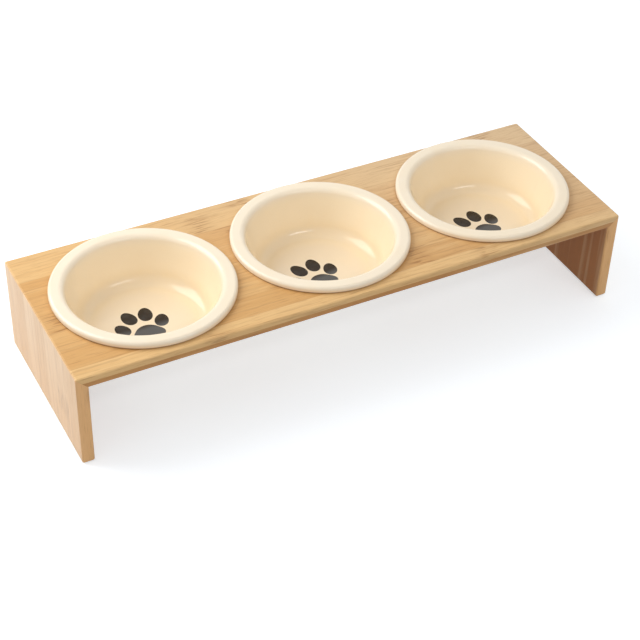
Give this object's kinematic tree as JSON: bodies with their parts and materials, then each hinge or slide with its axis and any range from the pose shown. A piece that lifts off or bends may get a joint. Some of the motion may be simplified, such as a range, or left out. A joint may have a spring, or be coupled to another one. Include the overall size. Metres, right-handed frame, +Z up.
{
  "type": "pet feeding station",
  "caption": "Low bamboo stand with mitred legs and round holes that carry lift-out glazed ceramic bowls, for feeding cats or small dogs.",
  "frame": {"origin": "on the floor, under the middle of the stand", "axes": "+X along the stand to the right as seen from the front, the front faces -Y, +Z up"},
  "size_m": [0.425, 0.14, 0.08],
  "materials": {
    "bamboo": "oiled satin, laminated strips",
    "dowel": "raw",
    "pad": "matt, slightly clear",
    "glaze": "gloss cream glaze"
  },
  "bodies": {
    "stand": {"top_board": "bamboo", "left_leg": "bamboo", "right_leg": "bamboo", "left_corner_dowels": "dowel", "right_corner_dowels": "dowel", "front_left_foot_pad": "pad", "back_left_foot_pad": "pad", "front_right_foot_pad": "pad", "back_right_foot_pad": "pad"},
    "left_bowl": {"left_bowl": "glaze"},
    "middle_bowl": {"middle_bowl": "glaze"},
    "right_bowl": {"right_bowl": "glaze"}
  },
  "joints": [
    {"name": "left_bowl_lift", "type": "slide", "parent": "stand", "child": "left_bowl", "axis": [0, 0, 1], "range_m": [0, 0.06]},
    {"name": "middle_bowl_lift", "type": "slide", "parent": "stand", "child": "middle_bowl", "axis": [0, 0, 1], "range_m": [0, 0.06]},
    {"name": "right_bowl_lift", "type": "slide", "parent": "stand", "child": "right_bowl", "axis": [0, 0, 1], "range_m": [0, 0.06]}
  ]
}
